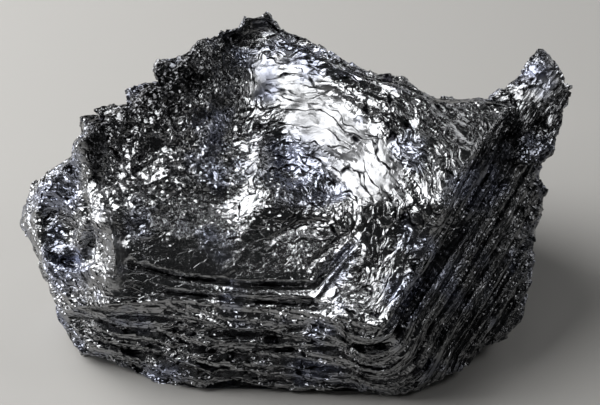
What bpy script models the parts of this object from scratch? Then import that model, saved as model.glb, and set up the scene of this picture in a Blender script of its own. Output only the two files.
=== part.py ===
"""A hand specimen of molybdenite: one wedge-shaped book of bent, broken metallic sheets.

The stone is drawn on a plane that leans back from the reader, with three measures: across (to the right),
up (up the plane) and out (towards the reader). The sheets of the book dip towards the reader less steeply
than that plane, so their broken edges show as ledges along the front and the right side, and the top
sheet shows as the large cleavage face. The drawing is turned to X right, Y away and Z up at the end.
"""

import math

import bmesh
import bpy
import numpy as np
from mathutils import Matrix

MM = 0.001

# Driving dimensions
PLANE_LEAN = math.radians(50)
SHEET_DIP = math.radians(28)
BACK_DEPTH = 25 * MM
FOOT_DEPTH = 19.6 * MM
# How the rim climbs to the face and how the back rounds off: 1 is straight and round, more is fuller
FRONT_FULLNESS = 0.85
BACK_FULLNESS = 2.4
HORN_FULLNESS = 3
TRIANGLES = 10900
VOXEL = 0.5 * MM
SUBDIVISIONS = 8

# The sheets' own up direction, measured on the drawing plane
DIP_FROM_PLANE = PLANE_LEAN - SHEET_DIP
SHEET_UP = math.sin(DIP_FROM_PLANE)
SHEET_OUT = math.cos(DIP_FROM_PLANE)

# Outline of the stone without its horn, anticlockwise from the right, as (across, up)
MIDDLE = (1.0 * MM, -1.1 * MM)
RIM = [
    (34.5, 1.0), (34.9, 2.4), (34.0, 4.6), (34.6, 6.2), (33.4, 9.2), (32.8, 12.0), (31.0, 14.4),
    (25.6, 14.9), (19.7, 14.9), (17.2, 16.0), (15.1, 17.5), (12.8, 18.4), (11.4, 18.3), (7.5, 19.8),
    (4.4, 21.8), (1.0, 23.4), (-1.3, 24.2), (-2.7, 26.0), (-3.7, 26.9), (-4.0, 26.2), (-6.4, 26.2),
    (-7.4, 24.7), (-9.8, 24.4), (-11.0, 23.1), (-12.9, 23.0), (-14.6, 21.0), (-16.8, 20.2),
    (-18.6, 20.0), (-19.1, 18.7), (-17.4, 16.6), (-21.0, 16.8), (-23.0, 15.6), (-22.0, 13.9),
    (-24.2, 13.6), (-25.0, 12.1), (-27.3, 13.3), (-29.2, 12.4), (-28.8, 10.0), (-30.2, 8.7),
    (-30.4, 6.8), (-31.4, 6.2), (-33.8, 4.8), (-36.2, 2.9), (-37.1, -0.6), (-37.6, -2.2), (-37.0, -3.8),
    (-35.7, -5.9), (-34.4, -9.3), (-33.3, -12.1), (-32.3, -15.8), (-30.9, -18.2), (-29.1, -20.3),
    (-25.4, -21.1), (-22.3, -22.5), (-19.2, -24.1), (-15.8, -24.9), (-12.4, -25.1), (-11.2, -24.2),
    (-7.9, -23.7), (-3.4, -24.5), (1.0, -25.0), (4.4, -25.1), (6.2, -24.8), (8.6, -24.8), (10.9, -25.5),
    (13.5, -25.9), (15.6, -25.5), (17.7, -24.7), (20.4, -23.4), (23.5, -22.6), (23.8, -21.8),
    (25.9, -19.8), (28.2, -18.5), (30.1, -16.9), (31.6, -15.0), (32.2, -12.9), (33.0, -10.6),
    (33.4, -6.8), (32.9, -6.3), (33.3, -3.0), (34.3, -0.9),
]
# Outer edge of the cleavage face, inside the rim: the first ledge starts here
FACE_EDGE = [
    (20.6, 1.0), (22.6, 4.9), (27.7, 11.2), (30.4, 13.6), (25.6, 14.4), (19.6, 14.2), (14.7, 16.0),
    (7.1, 18.6), (1.0, 21.6), (-3.2, 24.4), (-7.0, 24.0), (-12.4, 21.9), (-16.6, 18.6), (-20.6, 15.2),
    (-24.6, 12.0), (-29.4, 8.0), (-33.2, 4.0), (-35.6, -1.8), (-33.4, -8.6), (-29.6, -13.6), (-15.5, -12.4),
    (-5.9, -12.9), (3.7, -14.4), (12.6, -16.2), (17.9, -4.5),
]
# How far out the rim stands, by direction round the middle in degrees
RIM_OUT = {0: -4.5, 28: -3.5, 45: 0.0, 75: -1.5, 98: -3.4, 112: -0.5, 130: 1.5, 150: 1.5, 160: -0.5,
           180: -3.5, 195: -4.0, 225: -2.5, 245: 0.6, 270: 0.4, 300: 1.4, 325: -1.0, 345: -3.5}

# The horn, a bent flake that stands up behind the right end
HORN_MIDDLE = (33.4 * MM, 12.6 * MM)
HORN_RIM = [
    (37.5, 13.9), (37.7, 16.2), (37.4, 18.0), (36.2, 19.7), (34.9, 21.3), (34.1, 21.8), (33.2, 20.9),
    (32.2, 19.7), (31.7, 18.6), (29.8, 16.9), (27.2, 15.2), (27.6, 13.0), (28.8, 10.4), (30.2, 6.4),
    (33.6, 5.6), (35.4, 7.2), (36.0, 8.9), (36.9, 11.3),
]
HORN_OUT = -1.6 * MM
HORN_BELLY = 2.1 * MM
HORN_BACK = 3.2 * MM
HORN_LEAN = 0.1
HORN_BLOCK = 3.2 * MM
HORN_ROUGH = 0.6 * MM
# Crevice between the horn and the stone: place, half sizes, depth
HORN_HOLLOW = ((33.9, 10.8), (1.5, 2.8), 2.2)

# Heights in the stack of sheets where a thick ledge ends, from the lowest to the top
LEDGES = [-30.0, -26.8, -24.6, -21.2, -18.6, -15.4, -13.4, -10.6, -8.7, -7.9, -5.6, -4.3, -2.2, -1.2, 0.9,
          1.9, 3.9, 4.9, 6.6, 9.0, 12.0, 15.0, 18.0]
RISER_SHARE = 0.34
LEDGE_WOBBLE = 0.3 * MM
WOBBLE_CELLS = (11 * MM, 8 * MM)
# How strong the ledges are on the back, and on the smooth flank at the left, with its place and half sizes
BACK_LEDGES = 0.8
FLANK_LEDGES = 0.25
FLANK_PLACE = (-34.0, -8.0)
FLANK_SIZE = (8.0, 12.0)
# Along the right side the sheets bend up: a line that their edges run along, height there and drop beside it
BEND_LINE = ((12.4, -16.6), (29.6, 10.4))
BEND_HEIGHT = 5.0 * MM
BEND_DROP = 1.2
# How far the sheets are bent, by direction round the middle in degrees
BEND_SHARE = {0: 1.0, 24: 1.0, 36: 0.0, 288: 0.0, 318: 1.0, 345: 1.0}

# The top face as flats that run into each other: place, reach, height there, slope to the right, slope up
FLATS = {
    "front brow, left": ((-18.0, -12.5), 5.0, 8.6, 0.0, -0.15),
    "front brow, middle": ((-3.0, -12.5), 6.0, 9.4, 0.02, -0.18),
    "front brow, right": ((8.5, -13.0), 5.0, 11.4, 0.08, -0.28),
    "plates": ((-2.0, -6.5), 5.0, 8.0, -0.15, -0.15),
    "left of the plates": ((-12.0, -6.0), 4.5, 8.2, -0.12, -0.15),
    "trough": ((-20.0, -5.0), 4.5, 7.6, -0.12, -0.12),
    "left wall, low": ((-14.0, 1.5), 5.0, 6.6, -0.12, -0.15),
    "left wall, middle": ((-15.5, 9.0), 6.0, 4.4, -0.15, 0.0),
    "left wall, top": ((-12.0, 18.0), 4.5, 3.2, -0.30, -0.05),
    "fold": ((-5.4, 13.0), 3.0, 0.0, 0.35, -0.45),
    "dark facet": ((-25.0, 7.8), 2.6, 7.0, -0.80, 0.0),
    "left shoulder": ((-31.0, 4.0), 2.5, 4.4, 0.45, -0.10),
    "rib, upper": ((-27.0, 2.0), 2.0, 7.2, 0.50, -0.30),
    "rib, lower": ((-26.0, -7.0), 2.0, 8.0, 0.50, -0.40),
    "left edge": ((-34.0, -2.0), 2.5, 2.2, 0.45, 0.0),
    "left foot": ((-30.0, -10.5), 3.0, 4.8, 0.55, 0.10),
    "head of the fold": ((-4.6, 21.0), 3.5, -3.0, 0.32, -0.42),
    "hollow": ((-0.4, 7.6), 2.6, 2.8, 0.15, -0.25),
    "above the hollow": ((1.5, 16.0), 3.6, 0.2, 0.34, -0.48),
    "bright slope, upper": ((6.0, 11.0), 4.5, 3.4, 0.36, -0.46),
    "bright slope, middle": ((10.5, 3.0), 5.0, 8.0, 0.34, -0.44),
    "bright slope, lower": ((13.0, -6.0), 5.0, 11.0, 0.08, -0.40),
    "right plateau": ((20.0, 6.0), 5.0, 7.4, -0.02, -0.38),
    "right corner": ((27.0, 12.0), 4.0, 3.4, -0.10, -0.45),
}
# Small swellings and hollows on it: place, half width and half height, turn in degrees, height
SWELLINGS = {
    "fold below the peak": ((-4.8, 12.0), (1.2, 8.0), 4, 0.6),
    "foot of the fold": ((-2.6, 2.6), (2.2, 4.0), 14, 1.0),
    "hollow beside the fold": ((-1.0, 7.6), (1.6, 4.0), 12, -1.6),
    "pocket": ((5.2, 2.2), (2.2, 1.6), -30, -1.4),
    "band under the crest": ((9.0, 15.4), (11.0, 1.6), -27, 1.3),
}
# Low flat plates with the corners of a hexagon, and a sunk one: corners as (across, up), thickness
PLATES = {
    "left pocket": ([(-34.5, -1.0), (-32.0, 3.5), (-28.9, 4.5), (-27.4, 0.5), (-26.6, -4.0), (-26.8, -7.6),
                     (-29.5, -8.6), (-33.5, -7.0)], -4.8),
    "front plate": ([(-15.6, -9.2), (-12.8, -3.0), (-9.0, -1.4), (-3.9, -2.2), (8.4, -5.4), (3.2, -12.4),
                     (-6.0, -11.9)], 1.1),
    "left plate": ([(-15.4, -9.4), (-11.4, -4.0), (-4.6, -2.6), (-7.6, -8.4), (-10.0, -9.6)], 0.8),
    "middle plate": ([(-5.9, -10.0), (-6.8, -7.8), (-4.0, -3.4), (1.0, -2.0), (6.2, -4.1), (3.0, -10.0)],
                     1.2),
    "top plate": ([(-3.6, -9.0), (-3.0, -6.0), (0.2, -4.4), (5.0, -4.9), (2.4, -9.1)], 0.7),
}
PLATE_EDGE = 0.45 * MM
# Cracks between sheets: points as (across, up), depth
CRACKS = {
    "under the plates": ([(-22.0, -7.6), (-15.5, -9.4), (-5.6, -10.5), (3.0, -10.6), (7.8, -5.2)], 1.5),
    "upper front": ([(-17.0, -11.4), (-6.2, -12.6), (1.6, -13.2), (5.0, -13.4)], 1.4),
    "lower front": ([(-30.0, -15.0), (-21.8, -16.2), (-14.0, -16.9), (-6.0, -17.2), (2.0, -16.2)], 1.3),
    "foot": ([(-16.0, -19.2), (-7.0, -19.3), (4.0, -19.0), (12.8, -18.6)], 1.2),
    "left slot": ([(-33.0, -7.0), (-29.6, -7.7)], 1.3),
    "right corner": ([(12.4, -16.6), (17.6, -9.0), (22.0, -3.0), (27.6, 6.8), (29.6, 10.4)], 2.2),
    "right middle": ([(14.6, -15.2), (21.4, -5.6), (26.0, 0.4), (29.6, 6.0)], 1.8),
}
CRACK_WIDTH = 0.75 * MM
# The rib, a bent flap that stands up on the left: points as (across, up), then its height and width
RIB = [(-28.6, 9.4), (-27.0, 4.6), (-25.4, 0.2), (-24.0, -3.8), (-23.6, -7.4), (-24.0, -10.6)]
RIB_HEIGHT = [0.3, 0.6, 1.0, 1.3, 1.2, 0.6]
RIB_WIDTH = [1.0, 1.6, 2.2, 2.6, 2.4, 1.8]
# How far the rib drops off on its right side, and how far its ends run out
RIB_DROP = 0.7 * MM
RIB_END = 1.5 * MM
# Parts of the front where the surface is broken into blocks: place, half sizes, turn, height
BROKEN = [((-16.5, 12.5), (9.5, 12.0), -52, 1.5), ((-32.0, -1.0), (6.0, 9.0), -10, 0.5),
          ((33.6, 0.0), (3.4, 12.0), 0, 1.2), ((-20.0, -2.0), (6.0, 7.0), 0, 0.5)]
BLOCK = 3.4 * MM
# Waves of the whole front and of the back: size of a wave, height at the rim and on the face, on the back
FRONT_WAVE = 6 * MM
WAVE_AT_RIM = 0.25 * MM
WAVE_ON_FACE = 0.55 * MM
BACK_WAVE = 9 * MM
BACK_WAVE_HEIGHT = 1.6 * MM
# The calm, flat stretch along the front of the face
CALM_PLACE = (-9.0, -7.4)
CALM_SIZE = (17.0, 6.0)
CALM_SHARE = 0.9
# A plate is at its full thickness at its right corner, and from this share of the way down it
PLATE_DOWN = 0.67


def cell_value(cells, seed):
    """A fixed random value from -1 to 1 for each cell, given by three whole numbers."""
    key = cells.astype(np.uint32)
    mixed = key[:, 0] * np.uint32(374761393) + key[:, 1] * np.uint32(668265263)
    mixed += key[:, 2] * np.uint32(2246822519) + np.uint32(seed * 3266489917 % 2**32)
    mixed = (mixed ^ (mixed >> np.uint32(13))) * np.uint32(1274126177)
    mixed ^= mixed >> np.uint32(16)
    return mixed / 2**31 - 1


def lattice_noise(points, cell, seed):
    """Smooth noise from -1 to 1 at each point, between random values on a cubic lattice of that cell."""
    scaled = points / cell
    base = np.floor(scaled).astype(np.int64)
    part = scaled - base
    part = part * part * (3 - 2 * part)
    total = np.zeros(len(points))
    for corner in np.ndindex(2, 2, 2):
        weight = np.prod(np.where(np.array(corner) == 1, part, 1 - part), axis=1)
        total += weight * cell_value(base + corner, seed)
    return total


def broken_blocks(points, cell, seed, slope=1.0):
    """Heights from about -1 to 1 of a surface broken into blocks, each with its own level and slope."""
    base = np.floor(points / cell).astype(np.int64)
    nearest, height = np.full(len(points), np.inf), np.zeros(len(points))
    for step in np.ndindex(3, 3, 3):
        block = base + step - 1
        middle = block + 0.5 + np.stack([cell_value(block, seed + i) for i in range(3)], axis=1) * 0.45
        offset = points / cell - middle
        away = np.linalg.norm(offset, axis=1)
        level = cell_value(block, seed + 3) * 0.6
        level += slope * offset[:, 0] * cell_value(block, seed + 4)
        level += slope * offset[:, 1] * cell_value(block, seed + 5)
        height = np.where(away < nearest, level, height)
        nearest = np.minimum(nearest, away)
    return height


def layered_noise(points, cell, seed, layers=3):
    """Lattice noise at several sizes, each half as large and half as strong as the one before."""
    return sum(lattice_noise(points, cell / 2**i, seed + i) / 2**i for i in range(layers))


def ray_length(outline, middle, angle):
    """How far a ray from the middle runs, at each angle, before it meets the outline."""
    corners = np.array(outline) * MM - middle
    turns = np.arctan2(corners[:, 1], corners[:, 0]) % (2 * math.pi)
    order = np.argsort(turns)
    corners, turns = corners[order], turns[order]
    start = np.searchsorted(turns, angle % (2 * math.pi), side="right") - 1
    a, b = corners[start], corners[(start + 1) % len(corners)]
    side = b - a
    across = np.cos(angle) * side[:, 1] - np.sin(angle) * side[:, 0]
    return (a[:, 0] * side[:, 1] - a[:, 1] * side[:, 0]) / across


def bump(x, y, place, size, turn):
    """A smooth round bump, 1 high, at a place, with half widths and a turn in degrees."""
    c, s = math.cos(math.radians(turn)), math.sin(math.radians(turn))
    dx, dy = x - place[0] * MM, y - place[1] * MM
    along, beside = dx * c + dy * s, dy * c - dx * s
    return np.exp(-((along / (size[0] * MM)) ** 2) - (beside / (size[1] * MM)) ** 2)


def distance_to_line(x, y, points):
    """Distance from each place to a line of straight runs, and the side of it: positive on the left."""
    nearest, side = np.full(len(x), np.inf), np.ones(len(x))
    for (ax, ay), (bx, by) in zip(points, points[1:]):
        run = np.array([bx - ax, by - ay]) * MM
        dx, dy = x - ax * MM, y - ay * MM
        share = np.clip((dx * run[0] + dy * run[1]) / (run @ run), 0, 1)
        ox, oy = dx - share * run[0], dy - share * run[1]
        away = np.hypot(ox, oy)
        closer = away < nearest
        side = np.where(closer, np.sign(run[0] * dy - run[1] * dx), side)
        nearest = np.minimum(nearest, away)
    return nearest, side


def inside_plate(x, y, corners):
    """1 inside a convex plate, 0 outside, with a short slope at its edge. Its corners may run either way."""
    points = np.array(corners) * MM
    middle = points.mean(axis=0)
    depth = np.full(len(x), np.inf)
    for a, b in zip(points, np.roll(points, -1, axis=0)):
        side = b - a
        normal = np.array([-side[1], side[0]]) / np.linalg.norm(side)
        normal *= np.sign((middle - a) @ normal)
        depth = np.minimum(depth, (x - a[0]) * normal[0] + (y - a[1]) * normal[1])
    return np.clip(depth / PLATE_EDGE + 0.5, 0, 1)


def stepped(height, riser_share=RISER_SHARE):
    """Heights in the stack drawn to flat treads with short risers between the ledges."""
    levels = np.array(LEDGES) * MM
    lower = np.clip(np.searchsorted(levels, height) - 1, 0, len(levels) - 2)
    gap = levels[lower + 1] - levels[lower]
    share = np.clip(((height - levels[lower]) / gap - 1 + riser_share) / riser_share, 0, 1)
    return levels[lower] + gap * share * share * (3 - 2 * share)


def face_out(x, y):
    """How far out the cleavage face stands."""
    out, total = np.zeros(len(x)), np.full(len(x), 1e-12)
    for place, reach, height, right, up in FLATS.values():
        dx, dy = x - place[0] * MM, y - place[1] * MM
        weight = np.exp(-(dx * dx + dy * dy) / (reach * MM) ** 2) + 1e-9
        out += weight * (height * MM + right * dx + up * dy)
        total += weight
    out /= total
    for place, size, turn, height in SWELLINGS.values():
        out += bump(x, y, place, size, turn) * height * MM
    away, side = distance_to_line(x, y, RIB)
    top, foot = RIB[0][1] * MM, RIB[-1][1] * MM
    down = -np.array(RIB)[:, 1] * MM
    rise = np.clip(1 - away / (np.interp(-y, down, RIB_WIDTH) * MM), 0, 1)
    drop = np.clip(1 - away / RIB_DROP, 0, 1)
    ends = np.clip(1 - np.maximum(y - top, foot - y) / RIB_END, 0, 1)
    out += np.interp(-y, down, RIB_HEIGHT) * MM * np.where(side < 0, rise, drop) * ends
    for corners, thickness in PLATES.values():
        left, right = min(corners)[0] * MM, max(corners)[0] * MM
        low, high = min(up for _, up in corners) * MM, max(up for _, up in corners) * MM
        tilt = np.clip((x - left) / (right - left), 0, 1)
        tilt *= np.clip((high - y) / (high - low) / PLATE_DOWN, 0, 1)
        out += inside_plate(x, y, corners) * thickness * MM * tilt
    return out


def stack_height(x, y, out, bent):
    """Height in the stack of sheets, which lie flat or, where bent is 1, run along the right side."""
    start, end = np.array(BEND_LINE[0]) * MM, np.array(BEND_LINE[1]) * MM
    run = (end - start) / np.linalg.norm(end - start)
    beside = (x - start[0]) * run[1] - (y - start[1]) * run[0]
    flat = y * SHEET_UP + out * SHEET_OUT
    return flat + (BEND_HEIGHT - BEND_DROP * beside - flat) * bent


def stone_out(angle, share, front):
    """How far out the stone's surface stands at an angle and at a share of the way to the rim."""
    rim, edge = ray_length(RIM, MIDDLE, angle), ray_length(FACE_EDGE, MIDDLE, angle)
    x, y = MIDDLE[0] + rim * share * np.cos(angle), MIDDLE[1] + rim * share * np.sin(angle)
    turns = np.degrees(angle) % 360
    rim_out = np.interp(turns, list(RIM_OUT), list(RIM_OUT.values()), period=360) * MM
    climb = np.clip((1 - share) * rim / (rim - edge), 0, 1)
    top = rim_out + (face_out(x, y) - rim_out) * climb**FRONT_FULLNESS
    back = rim_out - BACK_DEPTH * np.sqrt(np.clip(1 - share**BACK_FULLNESS, 0, 1))
    out = np.where(front, top, back)
    spots = np.stack([x, y, out], axis=1)

    # The ledges start close to the edge of the face, and bend up only close to the rim on the back
    ledge_part = np.where(front, np.clip((1 - climb) * 6, 0, 1), BACK_LEDGES)
    ledge_part *= 1 - (1 - FLANK_LEDGES) * bump(x, y, FLANK_PLACE, FLANK_SIZE, 0)
    bent = np.interp(turns, list(BEND_SHARE), list(BEND_SHARE.values()), period=360)
    bent *= np.where(front, 1, np.clip(share * 10 - 9, 0, 1))
    wobble = layered_noise(spots, WOBBLE_CELLS[0], 33, 2) + broken_blocks(spots, WOBBLE_CELLS[1], 35, 0)
    stack = stack_height(x, y, out, bent) + wobble * LEDGE_WOBBLE
    out += ledge_part * (stepped(stack) - stack) / SHEET_OUT

    calm = 1 - CALM_SHARE * bump(x, y, CALM_PLACE, CALM_SIZE, 0) * front
    wave = WAVE_AT_RIM + (WAVE_ON_FACE - WAVE_AT_RIM) * climb
    out += layered_noise(spots, FRONT_WAVE, 5, 2) * wave * calm
    for place, size, turn, height in BROKEN:
        strength = np.where(front, bump(x, y, place, size, turn) * height * MM, 0)
        out += strength * broken_blocks(spots, BLOCK, 60)
    back_wave = layered_noise(spots, BACK_WAVE, 21) * BACK_WAVE_HEIGHT * np.sqrt(1 - share)
    out += np.where(front, 0, back_wave)
    for points, depth in CRACKS.values():
        away, _ = distance_to_line(x, y, points)
        out -= np.where(front, depth * MM * np.exp(-((away / CRACK_WIDTH) ** 2)), 0)
    return x, y, out


def horn_out(angle, share, front):
    """The horn's surface: a thin shell, bent a little, that leans back towards its tip."""
    rim = ray_length(HORN_RIM, HORN_MIDDLE, angle)
    x, y = HORN_MIDDLE[0] + rim * share * np.cos(angle), HORN_MIDDLE[1] + rim * share * np.sin(angle)
    belly = np.where(front, HORN_BELLY, -HORN_BACK) * np.sqrt(np.clip(1 - share**HORN_FULLNESS, 0, 1))
    spots = np.stack([x, y, belly], axis=1)
    out = HORN_OUT + belly - HORN_LEAN * (y - HORN_MIDDLE[1])
    out += broken_blocks(spots, HORN_BLOCK, 43) * HORN_ROUGH
    place, size, depth = HORN_HOLLOW
    out -= np.where(front, bump(x, y, place, size, 0) * depth * MM, 0)
    return x, y, out


def shaped_sphere(name, surface):
    """A sphere with its points moved onto a surface given by angle, share of the way out, and side."""
    mesh = bpy.data.meshes.new(name)
    ball = bmesh.new()
    bmesh.ops.create_icosphere(ball, subdivisions=SUBDIVISIONS, radius=1)
    ball.to_mesh(mesh)
    ball.free()
    unit = np.empty(len(mesh.vertices) * 3)
    mesh.vertices.foreach_get("co", unit)
    unit = unit.reshape(-1, 3)
    angle = np.arctan2(unit[:, 1], unit[:, 0])
    share = np.clip(np.hypot(unit[:, 0], unit[:, 1]), 0, 1)
    across, up, out = surface(angle, share, unit[:, 2] > 0)
    mesh.vertices.foreach_set("co", np.stack([across, up, out], axis=1).ravel())
    made = bpy.data.objects.new(name, mesh)
    bpy.context.scene.collection.objects.link(made)
    return made


def take_in(stone, horn):
    """Puts the horn's faces into the stone's mesh; the remesh that follows makes one skin of the two."""
    both = bmesh.new()
    both.from_mesh(stone.data)
    both.from_mesh(horn.data)
    both.to_mesh(stone.data)
    both.free()
    bpy.data.objects.remove(horn)


def apply_modifier(obj, kind, **settings):
    """Adds a modifier with these settings and makes its result the object's own mesh."""
    modifier = obj.modifiers.new(kind.title(), kind)
    for setting, value in settings.items():
        setattr(modifier, setting, value)
    graph = bpy.context.evaluated_depsgraph_get()
    made = bpy.data.meshes.new_from_object(obj.evaluated_get(graph))
    obj.modifiers.clear()
    obj.data = made


def stand_on_ground(mesh):
    """Turns the drawing to X right, Y away and Z up, cuts the foot flat and centres the stone."""
    tilt = Matrix.Rotation(PLANE_LEAN, 4, "X")
    mesh.transform(Matrix.Translation((0, 0, FOOT_DEPTH)) @ tilt)
    shape = bmesh.new()
    shape.from_mesh(mesh)
    everything = shape.verts[:] + shape.edges[:] + shape.faces[:]
    ground = {"plane_co": (0, 0, 0), "plane_no": (0, 0, 1)}
    cut = bmesh.ops.bisect_plane(shape, geom=everything, clear_inner=True, **ground)
    edges = [e for e in cut["geom_cut"] if isinstance(e, bmesh.types.BMEdge)]
    bmesh.ops.holes_fill(shape, edges=edges)
    bmesh.ops.triangulate(shape, faces=shape.faces[:])
    shape.to_mesh(mesh)
    shape.free()
    points = np.array([v.co for v in mesh.vertices])
    centre = (points.min(axis=0) + points.max(axis=0)) / 2
    mesh.transform(Matrix.Translation((-centre[0], -centre[1], -points[:, 2].min())))


def ore_material():
    """Lead-grey metallic ore."""
    ore = bpy.data.materials.new("lead_grey_ore")
    ore.use_nodes = True
    shader = ore.node_tree.nodes["Principled BSDF"]
    shader.inputs["Base Color"].default_value = (0.2, 0.205, 0.22, 1)
    shader.inputs["Metallic"].default_value = 0.9
    shader.inputs["Roughness"].default_value = 0.35
    return ore


def build():
    for old in list(bpy.data.objects):
        bpy.data.objects.remove(old)
    specimen = bpy.data.collections.new("molybdenite_specimen")
    bpy.context.scene.collection.children.link(specimen)

    stone = shaped_sphere("molybdenite", stone_out)
    horn = shaped_sphere("horn", horn_out)
    take_in(stone, horn)
    apply_modifier(stone, "REMESH", mode="VOXEL", voxel_size=VOXEL)
    apply_modifier(stone, "DECIMATE", ratio=TRIANGLES / (2 * len(stone.data.polygons)))
    stand_on_ground(stone.data)
    stone.data.materials.append(ore_material())
    specimen.objects.link(stone)
    bpy.context.scene.collection.objects.unlink(stone)


build()
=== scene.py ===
"""A hand specimen of molybdenite on a pale floor: a bent, broken book of metallic sheets.

The stone is drawn on a plane that leans back from the camera, with three measures in millimetres: across
(to the right), up (up the plane) and out (towards the camera). The sheets dip towards the camera less
steeply than that plane. Their broken edges make the ledged front and right side, the top sheet makes the
crumpled bright face, and the left is broken into grains.
"""

import math

import bpy
import numpy as np
from mathutils import Matrix, Vector


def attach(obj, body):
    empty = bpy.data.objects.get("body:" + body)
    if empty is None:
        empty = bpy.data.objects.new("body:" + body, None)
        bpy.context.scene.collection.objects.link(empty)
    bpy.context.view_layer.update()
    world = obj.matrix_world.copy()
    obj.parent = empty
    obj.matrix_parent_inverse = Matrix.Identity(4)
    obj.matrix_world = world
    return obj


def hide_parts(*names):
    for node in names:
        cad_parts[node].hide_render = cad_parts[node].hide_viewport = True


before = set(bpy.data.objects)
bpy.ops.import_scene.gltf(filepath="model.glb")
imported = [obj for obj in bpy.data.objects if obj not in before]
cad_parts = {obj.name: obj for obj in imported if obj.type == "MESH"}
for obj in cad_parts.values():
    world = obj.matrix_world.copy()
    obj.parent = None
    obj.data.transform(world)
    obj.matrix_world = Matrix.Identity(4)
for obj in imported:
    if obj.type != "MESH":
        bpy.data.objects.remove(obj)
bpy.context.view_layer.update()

MM = 0.001

# The drawing plane: its lean, where its origin stands, and the sheets' slope against it
PLANE_LEAN = math.radians(50)
PLANE_ORIGIN = Vector((-0.06, -5.01, 19.6)) * MM
DIP_FROM_PLANE = math.radians(22)
SHEET_UP = math.sin(DIP_FROM_PLANE)
SHEET_OUT = math.cos(DIP_FROM_PLANE)
BACK_DEPTH = 25

# The skin: size of its cells before it is thinned, its triangles then, and the largest angle shaded smooth
SKIN_CELL = 0.26
SKIN_TRIANGLES = 192000
SMOOTH_ANGLE = math.radians(16)

# Outline of the stone without its horn, anticlockwise from the right, as (across, up)
MIDDLE = (1.0, -1.1)
RIM = [
    (34.5, 1.0), (34.9, 2.4), (34.0, 4.6), (34.6, 6.2), (33.4, 9.2), (32.8, 12.0), (31.0, 14.4),
    (25.6, 14.9), (19.7, 14.9), (17.2, 16.0), (15.1, 17.5), (12.8, 18.4), (11.4, 18.3), (7.5, 19.8),
    (4.4, 21.8), (1.0, 23.4), (-1.3, 24.2), (-2.7, 26.0), (-3.7, 26.9), (-4.0, 26.2), (-6.4, 26.2),
    (-7.4, 24.7), (-9.8, 24.4), (-11.0, 23.1), (-12.9, 23.0), (-14.6, 21.0), (-16.8, 20.2),
    (-18.6, 20.0), (-19.1, 18.7), (-17.4, 16.6), (-21.0, 16.8), (-23.0, 15.6), (-22.0, 13.9),
    (-24.2, 13.6), (-25.0, 12.1), (-27.3, 13.3), (-29.2, 12.4), (-28.8, 10.0), (-30.2, 8.7),
    (-30.4, 6.8), (-31.4, 6.2), (-33.8, 4.8), (-36.2, 2.9), (-37.1, -0.6), (-37.6, -2.2), (-37.0, -3.8),
    (-35.7, -5.9), (-34.4, -9.3), (-33.3, -12.1), (-32.3, -15.8), (-30.9, -18.2), (-29.1, -20.3),
    (-25.4, -21.1), (-22.3, -22.5), (-19.2, -24.1), (-15.8, -24.9), (-12.4, -25.1), (-11.2, -24.2),
    (-7.9, -23.7), (-3.4, -24.5), (1.0, -25.0), (4.4, -25.1), (6.2, -24.8), (8.6, -24.8), (10.9, -25.5),
    (13.5, -25.9), (15.6, -25.5), (17.7, -24.7), (20.4, -23.4), (23.5, -22.6), (23.8, -21.8),
    (25.9, -19.8), (28.2, -18.5), (30.1, -16.9), (31.6, -15.0), (32.2, -12.9), (33.0, -10.6),
    (33.4, -6.8), (32.9, -6.3), (33.3, -3.0), (34.3, -0.9),
]
# Outer edge of the top sheet, inside the rim: the first ledge starts here
FACE_EDGE = [
    (20.6, 1.0), (22.6, 4.9), (27.7, 11.2), (30.4, 13.6), (25.6, 14.4), (19.6, 14.2), (14.7, 16.0),
    (7.1, 18.6), (1.0, 21.6), (-3.2, 24.4), (-7.0, 24.0), (-12.4, 21.9), (-16.6, 18.6), (-20.6, 15.2),
    (-24.6, 12.0), (-29.4, 8.0), (-33.2, 4.0), (-35.6, -1.8), (-33.4, -8.6), (-29.6, -13.6), (-15.5, -12.4),
    (-5.9, -12.9), (3.7, -14.4), (12.6, -16.2), (17.9, -4.5),
]
# How far out the rim stands, by direction round the middle in degrees
RIM_OUT = {0: -4.5, 28: -3.5, 45: 0.0, 75: -1.5, 98: -3.4, 112: -0.5, 130: 1.5, 150: 1.5, 160: -0.5,
           180: -3.5, 195: -4.0, 225: -2.5, 245: 0.6, 270: 0.4, 300: 1.4, 325: -1.0, 345: -3.5}

# The horn, a bent flake that stands up behind the right end
HORN_MIDDLE = (33.4, 12.6)
HORN_RIM = [
    (37.5, 13.9), (37.7, 16.2), (37.4, 18.0), (36.2, 19.7), (34.9, 21.3), (34.1, 21.8), (33.2, 20.9),
    (32.2, 19.7), (31.7, 18.6), (29.8, 16.9), (27.2, 15.2), (27.6, 13.0), (28.8, 10.4), (30.2, 6.4),
    (33.6, 5.6), (35.4, 7.2), (36.0, 8.9), (36.9, 11.3),
]
HORN_OUT = -1.6
HORN_BELLY = 2.1
HORN_BACK = 3.2
HORN_LEAN = (0.28, -0.3)
HORN_HOLLOW = ((33.9, 10.8), (1.5, 2.8), 2.2)
HORN_BLOCK = 3.2
HORN_BLOCK_HEIGHT = 0.6

# Heights in the stack of sheets where a ledge ends, from the lowest to the top
LEDGES = [-30.0, -26.8, -24.6, -21.2, -18.6, -15.4, -13.4, -10.6, -8.7, -7.9, -5.6, -4.3, -2.2, -1.2, 0.9,
          1.9, 3.9, 4.9, 6.6, 9.0, 12.0, 15.0, 18.0]
RISER_SHARE = 0.26
LEDGE_WOBBLE = 0.3
# Along the right side the sheets bend up: a line that their edges run along, height there and drop beside it
BEND_LINE = ((12.4, -16.6), (29.6, 10.4))
BEND_HEIGHT = 5.0
BEND_DROP = 1.7
# How far the sheets are bent, by direction round the middle in degrees
BEND_SHARE = {0: 1.0, 24: 1.0, 36: 0.0, 288: 0.0, 318: 1.0, 345: 1.0}

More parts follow.
